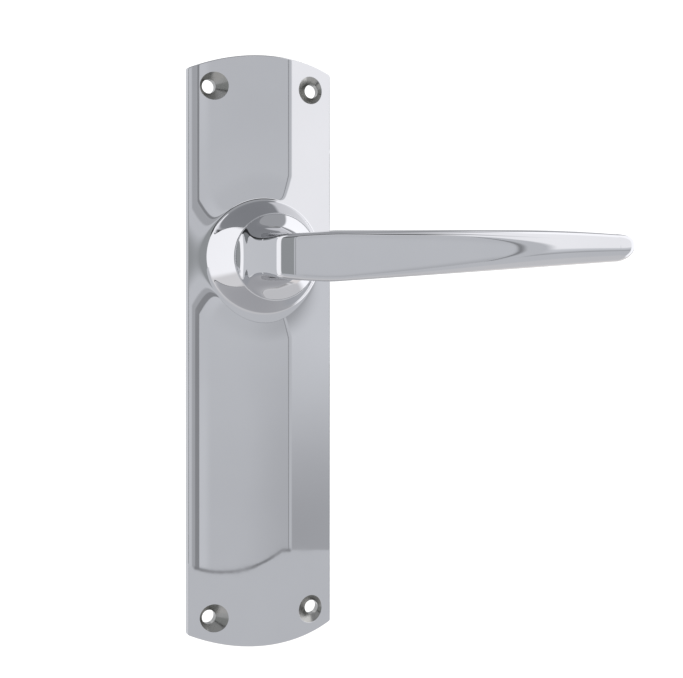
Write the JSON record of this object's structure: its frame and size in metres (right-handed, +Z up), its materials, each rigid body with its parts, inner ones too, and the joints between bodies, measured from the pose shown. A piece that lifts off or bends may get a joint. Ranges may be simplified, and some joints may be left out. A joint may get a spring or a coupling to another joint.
{
  "type": "door lever handle",
  "caption": "Sprung door lever on a long crowned backplate with arched ends, a flared boss, countersunk fixing holes and a square spindle behind.",
  "frame": {"origin": "on the spindle axis, in the plane of the door face that the backplate lies on", "axes": "+X the way the lever points at rest, +Z up the backplate, -Y out of the door towards the user, +Y into the door along the spindle"},
  "size_m": [0.1445, 0.1125, 0.195],
  "materials": {
    "chrome_plate": "polished chrome plate on cast brass",
    "zinc_steel": "bright zinc-plated steel",
    "spring_steel": "dark oiled spring steel",
    "screw_steel": "zinc-plated machine screw",
    "nylon": "natural nylon, satin"
  },
  "bodies": {
    "plate": {"backplate": "chrome_plate", "front_bush": "nylon", "thrust_washer": "zinc_steel", "return_spring": "spring_steel", "rest_stop_pin": "spring_steel", "travel_stop_pin": "spring_steel", "rear_cover": "zinc_steel", "rear_bush": "nylon", "cover_screw_1": "screw_steel", "cover_screw_2": "screw_steel", "cover_screw_3": "screw_steel", "cover_screw_4": "screw_steel"},
    "lever": {"lever": "chrome_plate", "spindle": "zinc_steel", "cam_plate": "zinc_steel", "wave_washer": "spring_steel", "backing_washer": "zinc_steel", "circlip": "spring_steel"}
  },
  "joints": [
    {"name": "lever_turn", "type": "hinge", "parent": "plate", "child": "lever", "pos_m": [0, 0, 0], "axis": [0, 1, 0], "range_deg": [0, 55], "stiffness_Nm_per_rad": 0.55, "springref_deg": -51.57, "deforming": ["return_spring"]}
  ]
}
